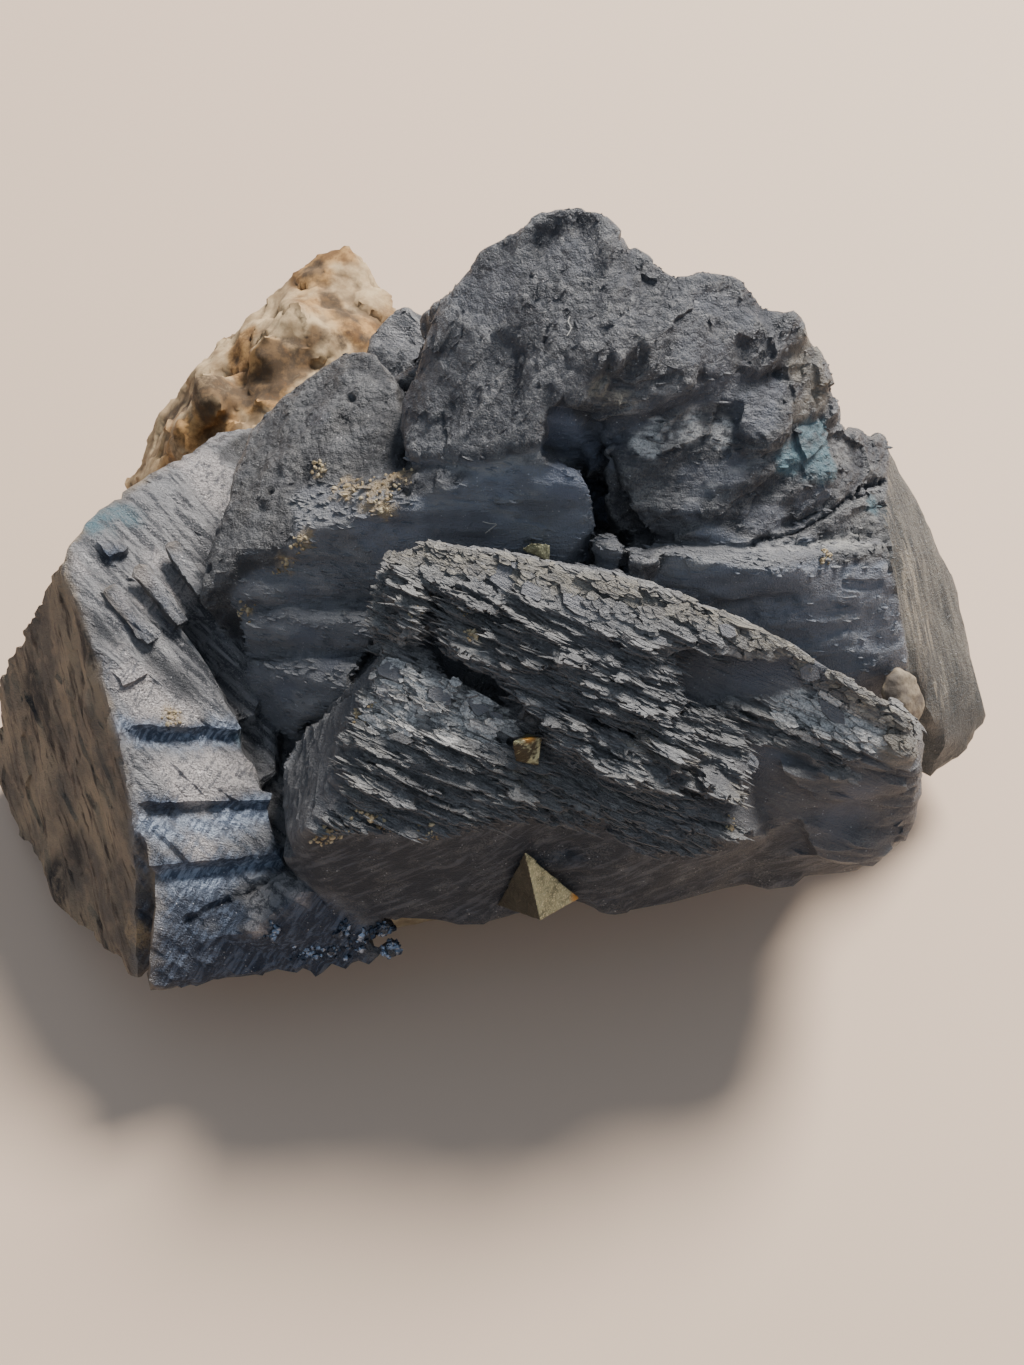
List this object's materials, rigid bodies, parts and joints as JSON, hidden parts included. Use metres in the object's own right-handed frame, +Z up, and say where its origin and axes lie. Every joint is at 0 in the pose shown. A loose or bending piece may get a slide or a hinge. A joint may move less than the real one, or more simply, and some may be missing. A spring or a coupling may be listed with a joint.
{
  "type": "sphalerite mineral specimen",
  "caption": "Intergrown black sphalerite crystals with striated, bark-like faces on iron-stained rock, dotted with small brassy tetrahedra.",
  "frame": {"origin": "a point on the flat underside of the rock, near its front edge, below the front crystals", "axes": "+Z up from the face that it rests on; +X along its longest side, to the viewer's right; +Y away from the viewer, towards the rocky back"},
  "size_m": [0.094, 0.0778, 0.054],
  "materials": {
    "sphalerite": "sub-metallic, dusty on its tops, with bright cleavage faces",
    "rock": "dull, ochre and brown iron stain",
    "chalcopyrite": "tarnished metallic, olive with an orange tip",
    "siderite": "tan, satin"
  },
  "bodies": {
    "root": {"sphalerite_cluster": "sphalerite", "matrix": "rock", "chalcopyrite_front": "chalcopyrite", "chalcopyrite_middle": "chalcopyrite", "chalcopyrite_rear": "chalcopyrite", "siderite_knob": "siderite"}
  },
  "joints": []
}
